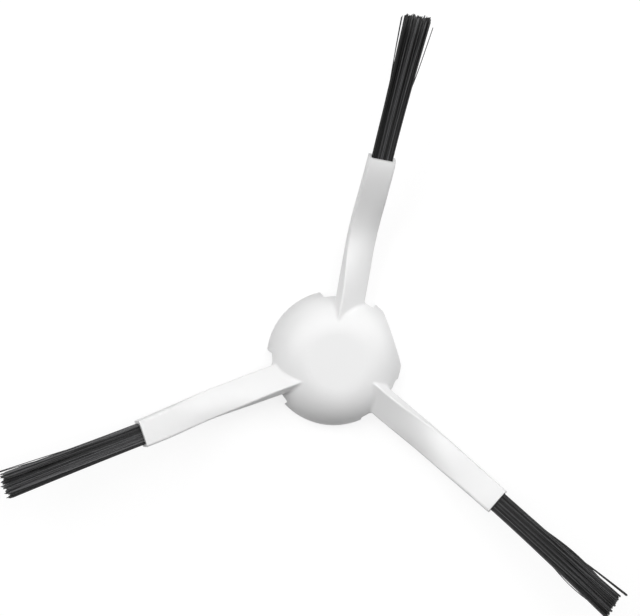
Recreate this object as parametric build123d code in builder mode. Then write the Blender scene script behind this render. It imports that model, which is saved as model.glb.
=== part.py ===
"""Side brush of a robot vacuum: a domed hub with three twisted arms, and a tuft of bristles in each arm.

Millimetres. The hub's open rim lies on z = 0, its dome faces +Z, and it turns about Z.
The first arm points along +Y, and the arms climb towards their tufts, as they do in use.
"""

import os
from math import atan, cos, pi, radians, sin, sqrt

from build123d import *

# Arms, counted round the axis
arm_count = 3
first_arm_azimuth = 90

# Domed hub: a flat crown, a round shoulder and a short upright skirt
crown_radius = 7
shoulder_radius = 9.8
skirt_height = 0.4
hub_wall = 1.8
rim_radius = crown_radius + shoulder_radius
dome_height = skirt_height + shoulder_radius

# One lobe of the skirt is cut straight
flat_distance = 15.15
flat_azimuth = 29.5

# Square drive socket in the middle boss, with a lead-in and two snap ridges
socket_width = 6.1
socket_depth = 7.2
socket_lead_in = 0.4
boss_wall = 1.2
snap_height = 0.3
snap_length = 2.4
snap_depth = 4.6
boss_radius = socket_width * sqrt(2) / 2 + boss_wall

# Arms: blades that stand half on edge at the dome and lie flat at the tuft
arm_reach = 52.1
arm_root_width = 7.6
arm_end_width = 6.85
arm_root_thickness = 3
arm_end_thickness = 4.2
arm_root_rounding = 0.3
arm_end_rounding = 0.7
arm_fillet = 1.2
rib_margin = 0.3
arm_stations = 11
twist_at_root = 35
twist_start = 10
twist_end = 46
root_offset = 0.35
camber_start = 17
camber_end = 46
full_camber = 0.9
least_camber = 0.1
ridge_drop = 0.2
rise_start = 28.5
rise_length = 27.5
arm_rise = 10.5
root_lean = radians(twist_at_root)
ridge_height = (arm_root_width * sin(root_lean) + arm_root_thickness * cos(root_lean)) / 2
arm_root_height = dome_height - ridge_drop - ridge_height

# Cut-outs of the skirt that leave room below the arms
notch_drop = 2
notch_mouth = 14.6
notch_top = 12.8
notch_corner = 0.8
notch_height = arm_root_height - notch_drop

# Bristle tufts: a fused root block in the arm's pocket, and the filaments that stand in it
tuft_width = 5.2
tuft_thickness = 2.2
tuft_length = 37
block_corner = 0.4
block_recess = 0.6
pocket_depth = 6
pocket_clearance = 0.1
filament_columns = 17
filament_rows = 6
filament_radius = 0.14
filament_rooting = 1.2
tip_spread = 1.42
tip_thickening = 1.6
tip_unevenness = 2.4
uneven_steps = 8


def share(radius, start, end):
    """Part of the way from one radius to another, from 0 to 1."""
    return min(max((radius - start) / (end - start), 0), 1)


def ramp(radius, start, end):
    """Smooth step from 0 to 1 between two radii."""
    return (1 - cos(pi * share(radius, start, end))) / 2


def arm_slope(radius):
    """Climb of the arm's middle line, in radians."""
    steepest = arm_rise * pi / rise_length / 2
    return atan(steepest * sin(pi * share(radius, rise_start, rise_start + rise_length)))


def arm_width(radius):
    """Width of the blade, which narrows a little towards the tuft."""
    return arm_root_width + (arm_end_width - arm_root_width) * share(radius, 0, arm_reach)


def arm_thickness(radius):
    """Thickness of the blade, which grows towards the tuft's pocket."""
    growth = ramp(radius, rise_start, arm_reach)
    return arm_root_thickness + (arm_end_thickness - arm_root_thickness) * growth


def arm_rounding(radius):
    """Radius of the blade's long edges."""
    return arm_root_rounding + (arm_end_rounding - arm_root_rounding) * share(radius, 0, arm_reach)


def arm_camber(radius):
    """Bulge of the blade's upper face, greatest where the blade untwists."""
    bulge = sin(pi * share(radius, camber_start, camber_end)) ** 2
    return least_camber + (full_camber - least_camber) * bulge


def arm_plane(radius):
    """Plane across an arm along +X: its x runs along the blade's width, its z along the arm."""
    height = arm_root_height + arm_rise * ramp(radius, rise_start, rise_start + rise_length)
    slope = arm_slope(radius)
    # The root's stance, its twist and its offset to the clockwise side, dies out towards the tuft
    stance = 1 - ramp(radius, twist_start, twist_end)
    twist = root_lean * stance
    along = (cos(slope), 0, sin(slope))
    across = (-sin(twist) * sin(slope), cos(twist), sin(twist) * cos(slope))
    return Plane(origin=(radius, -root_offset * stance, height), x_dir=across, z_dir=along)


def flat_plane(distance):
    """Upright plane that cuts one lobe straight, at a distance from the axis."""
    outward = Vector(1, 0, 0).rotate(Axis.Z, flat_azimuth)
    return Plane(origin=outward * distance, z_dir=outward)


def arm_blade(margin):
    """Blade of an arm along +X, from inside the boss to the tuft, thicker all round by a margin."""
    start = socket_width / 2
    with BuildPart() as blade:
        for station in range(arm_stations):
            radius = start + (arm_reach - start) * station / (arm_stations - 1)
            half_width = arm_width(radius) / 2 + margin
            half_thickness = arm_thickness(radius) / 2 + margin
            edge_height = half_thickness - arm_camber(radius)
            with BuildSketch(arm_plane(radius)) as section:
                with BuildLine():
                    Polyline(
                        (half_width, edge_height),
                        (half_width, -half_thickness),
                        (-half_width, -half_thickness),
                        (-half_width, edge_height),
                    )
                    ThreePointArc(
                        (-half_width, edge_height),
                        (0, half_thickness),
                        (half_width, edge_height),
                    )
                make_face()
                fillet(section.vertices(), arm_rounding(radius) + margin)
        loft()
    return blade.part


# One arm along +X, with the pocket for its tuft
with BuildPart() as arm:
    add(arm_blade(0))
    with BuildSketch(arm_plane(arm_reach)):
        RectangleRounded(
            tuft_width + 2 * pocket_clearance,
            tuft_thickness + 2 * pocket_clearance,
            block_corner + pocket_clearance,
        )
    extrude(amount=-pocket_depth, mode=Mode.SUBTRACT)

# Skirt cut-out for an arm along +X
with BuildPart() as notch:
    notch_plane = Plane(origin=(boss_radius, -root_offset, 0), x_dir=(0, 1, 0), z_dir=(1, 0, 0))
    with BuildSketch(notch_plane) as notch_outline:
        with BuildLine():
            Polyline(
                (-notch_mouth / 2, 0),
                (notch_mouth / 2, 0),
                (notch_top / 2, notch_height),
                (-notch_top / 2, notch_height),
                close=True,
            )
        make_face()
        fillet(notch_outline.vertices().group_by(Axis.Y)[-1], notch_corner)
    extrude(amount=rim_radius)

# Hollow of the hub: the ring between wall and boss and the skirt's cut-outs, less the arms' ribs
with BuildPart() as hollow:
    with BuildSketch(Plane.XZ):
        with BuildLine():
            Line((boss_radius, 0), (rim_radius - hub_wall, 0))
            Line((rim_radius - hub_wall, 0), (rim_radius - hub_wall, skirt_height))
            CenterArc((crown_radius, skirt_height), shoulder_radius - hub_wall, 0, 90)
            Line((crown_radius, dome_height - hub_wall), (boss_radius, dome_height - hub_wall))
            Line((boss_radius, dome_height - hub_wall), (boss_radius, 0))
        make_face()
    revolve(axis=Axis.Z)
    split(bisect_by=flat_plane(flat_distance - hub_wall), keep=Keep.BOTTOM)
    with PolarLocations(0, arm_count, first_arm_azimuth):
        add(notch.part)
    with PolarLocations(0, arm_count, first_arm_azimuth):
        add(arm_blade(rib_margin), mode=Mode.SUBTRACT)

# Hub and arms, one moulding
with BuildPart() as hub_and_arms:
    with BuildSketch(Plane.XZ):
        with BuildLine():
            Line((0, 0), (rim_radius, 0))
            Line((rim_radius, 0), (rim_radius, skirt_height))
            CenterArc((crown_radius, skirt_height), shoulder_radius, 0, 90)
            Line((crown_radius, dome_height), (0, dome_height))
            Line((0, dome_height), (0, 0))
        make_face()
    revolve(axis=Axis.Z)
    split(bisect_by=flat_plane(flat_distance), keep=Keep.BOTTOM)
    # The arms run into the dome with a fillet all round
    with PolarLocations(0, arm_count, first_arm_azimuth):
        add(arm.part)
    fillet(edges(Select.NEW), arm_fillet)
    add(hollow.part, mode=Mode.SUBTRACT)
    # Drive socket with its lead-in and snap ridges
    with BuildSketch(Plane.XY):
        Rectangle(socket_width, socket_width)
    extrude(amount=socket_depth, mode=Mode.SUBTRACT)
    with BuildSketch(Plane.XY):
        Rectangle(socket_width + 2 * socket_lead_in, socket_width + 2 * socket_lead_in)
    extrude(amount=socket_lead_in, taper=45, mode=Mode.SUBTRACT)
    with Locations((socket_width / 2, 0, snap_depth), (-socket_width / 2, 0, snap_depth)):
        Cylinder(snap_height, snap_length, rotation=(90, 0, 0))

# A bundle of bristles for an arm along +X
with BuildPart() as bristles:
    end_plane = arm_plane(arm_reach)
    with BuildSketch(end_plane.offset(-pocket_depth)):
        RectangleRounded(tuft_width, tuft_thickness, block_corner)
    extrude(amount=pocket_depth - block_recess)
    column_pitch = (tuft_width - 2 * filament_radius) / (filament_columns - 0.5)
    row_pitch = (tuft_thickness - 2 * filament_radius) / (filament_rows - 1)
    for row in range(filament_rows):
        for column in range(filament_columns):
            stagger = row % 2 / 2 - 0.25
            side = (column - (filament_columns - 1) / 2 + stagger) * column_pitch
            lift = (row - (filament_rows - 1) / 2) * row_pitch
            lean = Vector(
                side * (tip_spread - 1) / tuft_length,
                lift * (tip_thickening - 1) / tuft_length,
                1,
            )
            uneven = (5 * column + 3 * row) % uneven_steps / (uneven_steps - 1)
            root = -block_recess - filament_rooting - tip_unevenness * uneven
            foot = Vector(side, lift, 0) + lean * root
            foot_plane = Plane(
                origin=end_plane.from_local_coords(foot),
                x_dir=end_plane.y_dir,
                z_dir=end_plane.from_local_coords(foot + lean) - end_plane.from_local_coords(foot),
            )
            with BuildSketch(foot_plane):
                RegularPolygon(filament_radius, 6)
    extrude(amount=tuft_length + block_recess + filament_rooting)

os.makedirs("parts", exist_ok=True)
hub_and_arms.part.label = "hub_and_arms"
export_step(hub_and_arms.part, "parts/hub_and_arms.step")

# One tuft in each arm
for number in range(arm_count):
    with BuildPart() as bristle_tuft:
        add(bristles.part, rotation=(0, 0, first_arm_azimuth + number * 360 / arm_count))
    bristle_tuft.part.label = f"bristle_tuft_{number + 1}"
    export_step(bristle_tuft.part, f"parts/bristle_tuft_{number + 1}.step")
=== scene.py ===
"""Looks of the robot vacuum side brush: white moulded hub and arms, black bristle tufts, white studio."""

import random
from math import cos, pi, radians, sin

import bpy
from mathutils import Matrix, Vector


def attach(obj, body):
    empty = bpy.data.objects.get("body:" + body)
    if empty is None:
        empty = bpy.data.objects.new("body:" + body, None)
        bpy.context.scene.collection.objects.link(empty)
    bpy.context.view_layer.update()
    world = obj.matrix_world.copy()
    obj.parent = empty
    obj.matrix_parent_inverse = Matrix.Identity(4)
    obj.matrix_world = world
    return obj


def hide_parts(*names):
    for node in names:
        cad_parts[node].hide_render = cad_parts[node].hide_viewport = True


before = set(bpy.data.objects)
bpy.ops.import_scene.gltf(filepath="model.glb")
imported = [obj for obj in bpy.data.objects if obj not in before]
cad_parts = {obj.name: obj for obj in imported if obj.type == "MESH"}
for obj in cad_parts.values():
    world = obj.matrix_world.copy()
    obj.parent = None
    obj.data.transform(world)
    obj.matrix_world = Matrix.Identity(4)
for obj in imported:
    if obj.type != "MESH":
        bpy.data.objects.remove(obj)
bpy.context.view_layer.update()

UP = Vector((0, 0, 1))

# Photograph's frame, and where the hub's axis meets the rim plane in it
PHOTO_WIDTH, PHOTO_HEIGHT = 640, 616
AXIS_PIXEL = (333.9, 357.7)
PIXELS_PER_METRE = 4020

# Camera: far off and almost straight above
CAMERA_DISTANCE = 2.0
CAMERA_LEAN = radians(8.0)
LEAN_AZIMUTH = radians(145)
CAMERA_ROLL = radians(11.4)
SENSOR_WIDTH = 36
CLIP_END = 20

# Soft square lamps: direction in the picture and height above the floor in degrees, and power
LAMPS = {
    "above": (60, 79, 5.7),
    "high_left": (120, 53, 3.6),
    "left": (150, 45, 6.4),
    "right": (30, 45, 2.7),
    "low_right": (30, 25, 4.7),
}
LAMP_DISTANCE = 1.3
LAMP_SIZE = 0.8
SURROUND = 0.02

# Floor: half its side, its gap below the rim, the grey and roughness that light the object,
# and the grey and glow that make it white where it is seen
FLOOR_HALF = 4
FLOOR_GAP = 0.0001
FLOOR_GREY = 0.5
FLOOR_ROUGHNESS = 0.9
SEEN_FLOOR_GREY = 0.25
SEEN_FLOOR_GLOW = 0.8

# Usual limits of a noise texture
NOISE_LOW, NOISE_HIGH = 0.3, 0.7

# White plastic: greys, roughness, and noises by scale and detail, with a height for relief
PLASTIC_IOR = 1.47
PLASTIC_GREYS = (0.845, 0.845, 0.845), (0.875, 0.875, 0.875)
PLASTIC_ROUGHNESS = (0.36, 0.48)
PLASTIC_FLOW = (60, 3)
PLASTIC_GLOSS = (900, 4)
PLASTIC_RELIEF = [(150, 2, 0.00002), (5000, 3, 0.000004)]

# Black bristle: colours of the darkest and the palest shade, and its finish in the same terms
BRISTLE_SPECULAR = 0.3
BRISTLE_COLOURS = (0, 0, 0), (0.1, 0.1, 0.103)
BRISTLE_ROUGHNESS = (0.32, 0.5)
BRISTLE_GLOSS = (1500, 3)
BRISTLE_RELIEF = [(9000, 2, 0.000004)]

# Arms' ends as in the part's source, where the tufts leave their pockets
FIRST_ARM_AZIMUTH = 90
END_RADIUS = 0.0521
END_HEIGHT = 0.01658
END_SLOPE = radians(14.49)
POCKET_DEPTH = 0.006
BLOCK_RECESS = 0.0006

# Fused root block of a tuft
ROOT_WIDTH = 0.0052
ROOT_THICKNESS = 0.0022
ROOT_CORNER = 0.0004
BLOCK_SHADE = 0.2

# Filaments in the block: rows staggered and filaments scattered by shares of the pitch, and how deep
# they reach into it
COLUMNS = 25
ROWS = 10
STAGGER = 0.25
ROOT_SCATTER = 0.2
ROOTING = 0.0015

# Form of a filament, rounded to a share of its radius at the tip
FILAMENT_RADIUS = 0.00011
FILAMENT_SIDES = 5
FILAMENT_STEPS = 9
TIP_ROUNDING = 0.5

# Course of the filaments: powers of their flare, drift and lift, and how far their tips scatter across,
# over and, as a share of the raggedness, along the tuft
FLARE_POWER = 1.6
DRIFT_POWER = 1.3
LIFT_POWER = 0.4
CROSSING = 0.0003
TIP_SCATTER = 0.0001
END_SCATTER = 0.6

# Clumps at the tip: how far they sway, rise and reach, as shares of half their own width, of the root's
# thickness and of the raggedness
CLUMP_SWAY = 0.3
CLUMP_LIFT = 0.15
CLUMP_GAIN = (-0.6, 0.4)

# Strands across the root, each of one shade, and how the filaments in a strand differ. The strand
# shades vary at random and also stand as painted highlights on filaments that catch the light and
# painted shade in the gaps between them
STRANDS = 21
STRAND_SHADES = (0.1, 0.4, 1.0, 2.8)
FILAMENT_SHADES = (0.5, 1.5)

# Each tuft: length, width and thickness of its tip over its root's, drift of the tip towards the
# counter-clockwise side, how much longer that side is and the middle is, then its clumps, how far
# they draw together, how raggedly they end, and its shade. The tufts are of one nylon, so their
# different shades are painted light and shade: each tuft is made lighter or darker by how it is lit
TUFTS = {
    1: dict(length=0.0373, spread=1.25, thicken=1.5, drift=-0.0007, slant=0.0001, crown=0.0005,
            clumps=13, pinch=0.18, ragged=0.0009, shade=0.31),
    2: dict(length=0.0376, spread=1.23, thicken=1.5, drift=0.0, slant=-0.0003, crown=0.0,
            clumps=11, pinch=0.26, ragged=0.0012, shade=0.4),
    3: dict(length=0.039, spread=1.3, thicken=1.5, drift=-0.0007, slant=-0.0014, crown=0.0,
            clumps=13, pinch=0.18, ragged=0.0006, shade=0.25),
}
FIRST_SEED = 100

# Loose filaments: tuft, side, where one leaves the tuft and ends as shares of its length, how far it
# stands off, and whether it comes back
STRAYS = [
    (1, 1, 0.55, 0.99, 0.00075, False),
    (1, 1, 0.58, 0.97, 0.0008, False),
    (1, 1, 0.6, 0.98, 0.0009, False),
    (1, -1, 0.52, 0.95, 0.0011, False),
    (2, -1, 0.7, 1.0, 0.0007, False),
    (2, -1, 0.45, 1.01, 0.0009, False),
    (3, 1, 0.6, 1.01, 0.0013, False),
    (3, 1, 0.63, 1.015, 0.0011, False),
    (3, 1, 0.62, 1.01, 0.0009, False),
    (3, 1, 0.35, 0.8, 0.0006, True),
    (3, 1, 0.35, 0.78, 0.0004, True),
    (3, 1, 0.4, 0.76, 0.0002, True),
    (3, -1, 0.55, 0.84, 0.0004, True),
]
STRAY_STEPS = 2 * FILAMENT_STEPS
STRAY_POWER = 0.6
STRAY_SHADE = 0.1


def link(thing):
    """Put an object into the scene."""
    bpy.context.scene.collection.objects.link(thing)
    return thing


def add_camera():
    """Camera that looks down the photograph's line of sight; gives the picture's right and up."""
    lean = Vector((cos(LEAN_AZIMUTH), sin(LEAN_AZIMUTH), 0))
    back = lean * sin(CAMERA_LEAN) + UP * cos(CAMERA_LEAN)
    level_up = (Vector((0, 1, 0)) - back * back.y).normalized()
    level_right = level_up.cross(back)
    right = level_right * cos(CAMERA_ROLL) + level_up * sin(CAMERA_ROLL)
    up = level_up * cos(CAMERA_ROLL) - level_right * sin(CAMERA_ROLL)
    sideways = (AXIS_PIXEL[0] - PHOTO_WIDTH / 2) / PIXELS_PER_METRE
    downwards = (AXIS_PIXEL[1] - PHOTO_HEIGHT / 2) / PIXELS_PER_METRE
    data = bpy.data.cameras.new("camera")
    data.sensor_fit = "HORIZONTAL"
    data.sensor_width = SENSOR_WIDTH
    data.lens = SENSOR_WIDTH * CAMERA_DISTANCE * PIXELS_PER_METRE / PHOTO_WIDTH
    data.clip_end = CLIP_END
    camera = link(bpy.data.objects.new("camera", data))
    camera.matrix_world = Matrix((right, up, back)).transposed().to_4x4()
    camera.location = back * CAMERA_DISTANCE - right * sideways + up * downwards
    bpy.context.scene.camera = camera
    return right, up


def add_lamps(right, up):
    """Soft square lamps round the object, aimed at the hub."""
    for name, (azimuth, elevation, power) in LAMPS.items():
        flat = right * cos(radians(azimuth)) + up * sin(radians(azimuth))
        flat = Vector((flat.x, flat.y, 0)).normalized()
        place = (flat * cos(radians(elevation)) + UP * sin(radians(elevation))) * LAMP_DISTANCE
        data = bpy.data.lights.new(name, "AREA")
        data.size = LAMP_SIZE
        data.energy = power
        lamp = link(bpy.data.objects.new(name, data))
        lamp.location = place
        lamp.rotation_euler = (-place).to_track_quat("-Z", "Y").to_euler()


def seen_directly(nodes, links):
    """Factor that is 1 for the camera, for reflections and through clear things, and 0 for lighting."""
    path = nodes.new("ShaderNodeLightPath")
    camera_or_gloss = nodes.new("ShaderNodeMath")
    camera_or_gloss.operation = "MAXIMUM"
    links.new(path.outputs["Is Camera Ray"], camera_or_gloss.inputs[0])
    links.new(path.outputs["Is Glossy Ray"], camera_or_gloss.inputs[1])
    any_of_them = nodes.new("ShaderNodeMath")
    any_of_them.operation = "MAXIMUM"
    links.new(camera_or_gloss.outputs[0], any_of_them.inputs[0])
    links.new(path.outputs["Is Transmission Ray"], any_of_them.inputs[1])
    return any_of_them.outputs[0]


def mix_by_sight(nodes, links, lighting, seen, surface):
    """Give a surface one shader for lighting, and another where it is seen."""
    mix = nodes.new("ShaderNodeMixShader")
    links.new(seen_directly(nodes, links), mix.inputs["Fac"])
    links.new(lighting.outputs[0], mix.inputs[1])
    links.new(seen.outputs[0], mix.inputs[2])
    links.new(mix.outputs[0], surface)


def add_surround():
    """Even white surround, full white where it is seen."""
    world = bpy.data.worlds.new("surround")
    world.use_nodes = True
    nodes, links = world.node_tree.nodes, world.node_tree.links
    lighting = nodes["Background"]
    lighting.inputs["Color"].default_value = (1, 1, 1, 1)
    lighting.inputs["Strength"].default_value = SURROUND
    seen = nodes.new("ShaderNodeBackground")
    seen.inputs["Color"].default_value = (1, 1, 1, 1)
    mix_by_sight(nodes, links, lighting, seen, nodes["World Output"].inputs["Surface"])
    bpy.context.scene.world = world


def new_material(name):
    """Material made of nodes: itself, its nodes, its links and its main shader."""
    material = bpy.data.materials.new(name)
    material.use_nodes = True
    nodes, links = material.node_tree.nodes, material.node_tree.links
    return material, nodes, links, nodes["Principled BSDF"]


def floor_white():
    """White where it is seen, with a faint shadow, and a grey that throws less light on the object."""
    material, nodes, links, lighting = new_material("floor")
    lighting.inputs["Base Color"].default_value = (FLOOR_GREY, FLOOR_GREY, FLOOR_GREY, 1)
    lighting.inputs["Roughness"].default_value = FLOOR_ROUGHNESS
    shadowed = nodes.new("ShaderNodeBsdfDiffuse")
    shadowed.inputs["Color"].default_value = (SEEN_FLOOR_GREY, SEEN_FLOOR_GREY, SEEN_FLOOR_GREY, 1)
    glow = nodes.new("ShaderNodeEmission")
    glow.inputs["Strength"].default_value = SEEN_FLOOR_GLOW
    seen = nodes.new("ShaderNodeAddShader")
    links.new(shadowed.outputs[0], seen.inputs[0])
    links.new(glow.outputs[0], seen.inputs[1])
    mix_by_sight(nodes, links, lighting, seen, nodes["Material Output"].inputs["Surface"])
    return material


def add_floor():
    """Plain floor a hair below the rim."""
    signs = ((-1, -1), (1, -1), (1, 1), (-1, 1))
    corners = [(x * FLOOR_HALF, y * FLOOR_HALF, -FLOOR_GAP) for x, y in signs]
    mesh = bpy.data.meshes.new("floor")
    mesh.from_pydata(corners, [], [(0, 1, 2, 3)])
    mesh.materials.append(floor_white())
    floor = link(bpy.data.objects.new("floor", mesh))


def noise(nodes, links, scale, detail):
    """Noise texture in metres of the object."""
    place = nodes.new("ShaderNodeTexCoord")
    texture = nodes.new("ShaderNodeTexNoise")
    texture.inputs["Scale"].default_value = scale
    texture.inputs["Detail"].default_value = detail
    links.new(place.outputs["Object"], texture.inputs["Vector"])
    return texture.outputs["Fac"]


def ramp(nodes, links, factor, low, high):
    """Colour that runs from one to another with a factor."""
    colours = nodes.new("ShaderNodeValToRGB")
    colours.color_ramp.elements[0].color = (*low, 1)
    colours.color_ramp.elements[1].color = (*high, 1)
    links.new(factor, colours.inputs["Fac"])
    return colours.outputs["Color"]


def stretch(nodes, links, factor, low, high):
    """Number that runs between two limits as a noise does between its usual ones."""
    span = nodes.new("ShaderNodeMapRange")
    span.inputs["From Min"].default_value = NOISE_LOW
    span.inputs["From Max"].default_value = NOISE_HIGH
    span.inputs["To Min"].default_value = low
    span.inputs["To Max"].default_value = high
    links.new(factor, span.inputs["Value"])
    return span.outputs["Result"]


def add_relief(nodes, links, shader, layers):
    """Fine relief in layers of noise: scale, detail and height in metres."""
    normal = None
    for scale, detail, height in layers:
        bump = nodes.new("ShaderNodeBump")
        bump.inputs["Distance"].default_value = height
        links.new(noise(nodes, links, scale, detail), bump.inputs["Height"])
        if normal:
            links.new(normal, bump.inputs["Normal"])
        normal = bump.outputs["Normal"]
    links.new(normal, shader.inputs["Normal"])


def white_plastic():
    """Satin white moulding: a fine eroded grain, faint flow shades and an uneven gloss."""
    material, nodes, links, shader = new_material("white_plastic")
    shader.inputs["IOR"].default_value = PLASTIC_IOR
    flow = ramp(nodes, links, noise(nodes, links, *PLASTIC_FLOW), *PLASTIC_GREYS)
    links.new(flow, shader.inputs["Base Color"])
    gloss = stretch(nodes, links, noise(nodes, links, *PLASTIC_GLOSS), *PLASTIC_ROUGHNESS)
    links.new(gloss, shader.inputs["Roughness"])
    add_relief(nodes, links, shader, PLASTIC_RELIEF)
    return material


def black_bristle():
    """Black nylon: each filament has its own shade, with an uneven soft sheen and a fine grain."""
    material, nodes, links, shader = new_material("black_bristle")
    shader.inputs["Specular IOR Level"].default_value = BRISTLE_SPECULAR
    shade = nodes.new("ShaderNodeAttribute")
    shade.attribute_name = "shade"
    links.new(ramp(nodes, links, shade.outputs["Fac"], *BRISTLE_COLOURS), shader.inputs["Base Color"])
    gloss = stretch(nodes, links, noise(nodes, links, *BRISTLE_GLOSS), *BRISTLE_ROUGHNESS)
    links.new(gloss, shader.inputs["Roughness"])
    add_relief(nodes, links, shader, BRISTLE_RELIEF)
    return material


def half_width(tuft, share):
    """Half the tuft's width at a share of its length."""
    return ROOT_WIDTH / 2 * (1 + (tuft["spread"] - 1) * share ** FLARE_POWER)


def drift(tuft, share):
    """Sideways place of the tuft's middle at a share of its length."""
    return tuft["drift"] * share ** DRIFT_POWER


def root_places(rng):
    """Staggered places of the filaments in the pocket, each a little off its grid."""
    pitch_across = (ROOT_WIDTH - 2 * FILAMENT_RADIUS) / (COLUMNS - 1 + 2 * STAGGER)
    pitch_over = (ROOT_THICKNESS - 2 * FILAMENT_RADIUS) / (ROWS - 1)
    for row in range(ROWS):
        shift = STAGGER if row % 2 else -STAGGER
        for column in range(COLUMNS):
            across = (column - (COLUMNS - 1) / 2 + shift) * pitch_across
            over = (row - (ROWS - 1) / 2) * pitch_over
            across += rng.gauss(0, ROOT_SCATTER) * pitch_across
            over += rng.gauss(0, ROOT_SCATTER) * pitch_over
            yield across, over


def tuft_clumps(tuft, rng):
    """Clumps side by side across the tip: place across, lift, and gain in length."""
    tip_half = half_width(tuft, 1)
    clumps = []
    for count in range(tuft["clumps"]):
        centre = (2 * (count + 0.5) / tuft["clumps"] - 1) * tip_half
        sway = rng.uniform(-CLUMP_SWAY, CLUMP_SWAY) * tip_half / tuft["clumps"]
        lift = rng.uniform(-CLUMP_LIFT, CLUMP_LIFT) * ROOT_THICKNESS
        gain = rng.uniform(*CLUMP_GAIN) * tuft["ragged"]
        gain += tuft["slant"] / 2 * centre / tip_half
        gain += tuft["crown"] * (1 - (centre / tip_half) ** 2)
        clumps.append((centre + sway, lift, gain))
    return clumps


def filament_lines(tuft, rng):
    """Lines of a tuft's filaments as points along, across and over it, with their shades."""
    clumps = tuft_clumps(tuft, rng)
    # Strand shades: random, and also painted highlights on filaments and painted shade in their gaps
    shades = [rng.choice(STRAND_SHADES) for strand in range(STRANDS)]
    tip_half = half_width(tuft, 1) - FILAMENT_RADIUS
    lines = []
    for across, over in root_places(rng):
        tip_across = across * tuft["spread"] + rng.gauss(0, CROSSING)
        tip_across = min(max(tip_across, -tip_half), tip_half)
        tip_over = over * tuft["thicken"] + rng.gauss(0, TIP_SCATTER)
        middle, lift, gain = min(clumps, key=lambda clump: abs(clump[0] - tip_across))
        tip_across += (middle - tip_across) * tuft["pinch"]
        length = tuft["length"] + gain - abs(rng.gauss(0, END_SCATTER)) * tuft["ragged"]
        strand = int((across / ROOT_WIDTH + 0.5) * STRANDS)
        strand = min(max(strand, 0), STRANDS - 1)
        # Painted light and shade: the tuft's shade, tuft by tuft, and the strands' highlights and shaded
        # gaps
        shade = tuft["shade"] * shades[strand] * rng.uniform(*FILAMENT_SHADES)
        line = [(-BLOCK_RECESS - ROOTING, across, over)]
        for step in range(FILAMENT_STEPS):
            share = step / (FILAMENT_STEPS - 1)
            flare = share ** FLARE_POWER
            line.append((
                share * length,
                across + (tip_across - across) * flare + drift(tuft, share),
                over + (tip_over - over) * flare + lift * share ** LIFT_POWER,
            ))
        lines.append((line, shade))
    return lines


def stray_lines(number):
    """Lines of the filaments that stand off from a tuft, with their shade."""
    tuft = TUFTS[number]
    lines = []
    for owner, side, leaves, ends, offset, returns in STRAYS:
        if owner != number:
            continue
        line = [(-BLOCK_RECESS - ROOTING, side * (ROOT_WIDTH / 2 - FILAMENT_RADIUS), 0)]
        for step in range(STRAY_STEPS):
            share = ends * step / (STRAY_STEPS - 1)
            away = max(share - leaves, 0) / (ends - leaves)
            stand_off = offset * (sin(pi * min(away, 1)) if returns else away ** STRAY_POWER)
            edge = half_width(tuft, share) - FILAMENT_RADIUS + stand_off
            line.append((share * tuft["length"], side * edge + drift(tuft, share), 0))
        lines.append((line, STRAY_SHADE))
    return lines


def block_rings():
    """Outline of the fused root block, a rectangle with cut corners, at its bottom and its top."""
    wide, narrow = ROOT_WIDTH / 2, ROOT_WIDTH / 2 - ROOT_CORNER
    thick, thin = ROOT_THICKNESS / 2, ROOT_THICKNESS / 2 - ROOT_CORNER
    outline = [
        (wide, -thin), (wide, thin), (narrow, thick), (-narrow, thick),
        (-wide, thin), (-wide, -thin), (-narrow, -thick), (narrow, -thick),
    ]
    return [
        [(along, across, over) for across, over in outline]
        for along in (-POCKET_DEPTH, -BLOCK_RECESS)
    ]


def filament_rings(line):
    """Rings of points round a filament's line, the last one small, for a rounded tip."""
    along, across, over = line[-1]
    tip_radius = FILAMENT_RADIUS * TIP_ROUNDING
    places = [(place, FILAMENT_RADIUS) for place in line]
    places.append(((along + tip_radius, across, over), tip_radius))
    turns = [2 * pi * side / FILAMENT_SIDES for side in range(FILAMENT_SIDES)]
    return [
        [(along, across + radius * cos(turn), over + radius * sin(turn)) for turn in turns]
        for (along, across, over), radius in places
    ]


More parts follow.
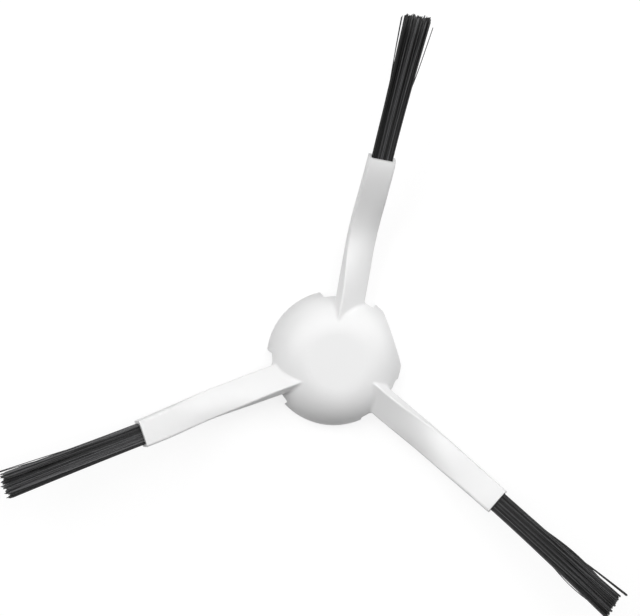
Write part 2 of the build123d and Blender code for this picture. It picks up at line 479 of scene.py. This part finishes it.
def tube_mesh(name, tubes, place):
    """Mesh of closed tubes, each given by its rings of points and its shade, put where they belong."""
    points, faces, shades = [], [], []
    for rings, shade in tubes:
        first, sides = len(points), len(rings[0])
        for ring in rings:
            points += [place(*point) for point in ring]
            shades += [min(shade, 1)] * sides
        for low in range(first, len(points) - sides, sides):
            for side in range(sides):
                turn = (side + 1) % sides
                faces.append((low + side, low + turn, low + sides + turn, low + sides + side))
        faces.append(tuple(first + side for side in reversed(range(sides))))
        faces.append(tuple(len(points) - sides + side for side in range(sides)))
    mesh = bpy.data.meshes.new(name)
    mesh.from_pydata(points, [], faces)
    mesh.attributes.new("shade", "FLOAT", "POINT").data.foreach_set("value", shades)
    # The tubes' sides are smooth, and their end caps flat
    mesh.polygons.foreach_set("use_smooth", [len(face) == 4 for face in faces])
    mesh.update()
    return mesh


def add_tuft(number, material):
    """One bundle of filaments with its root block in the pocket of an arm."""
    rng = random.Random(FIRST_SEED + number)
    azimuth = radians(FIRST_ARM_AZIMUTH + (number - 1) * 360 / len(TUFTS))
    outward = Vector((cos(azimuth), sin(azimuth), 0))
    across_axis = UP.cross(outward)
    along_axis = outward * cos(END_SLOPE) + UP * sin(END_SLOPE)
    over_axis = along_axis.cross(across_axis)
    mouth = outward * END_RADIUS + UP * END_HEIGHT

    def place(along, across, over):
        """Point of the tuft in the frame of the whole brush."""
        return mouth + along_axis * along + across_axis * across + over_axis * over

    lines = filament_lines(TUFTS[number], rng) + stray_lines(number)
    tubes = [(block_rings(), BLOCK_SHADE)] + [(filament_rings(line), shade) for line, shade in lines]
    mesh = tube_mesh(f"tuft_{number}", tubes, place)
    mesh.materials.append(material)
    tuft = link(bpy.data.objects.new(f"tuft_{number}", mesh))
    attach(tuft, "root")
    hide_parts(f"bristle_tuft_{number}")


bpy.context.scene.view_settings.view_transform = "Standard"
right, up = add_camera()
add_lamps(right, up)
add_surround()
add_floor()

# The hub keeps its own mesh, shaded smooth
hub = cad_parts["hub_and_arms"]
hub.data.polygons.foreach_set("use_smooth", [True] * len(hub.data.polygons))
hub.material_slots[0].material = white_plastic()

bristle = black_bristle()
for number in TUFTS:
    add_tuft(number, bristle)
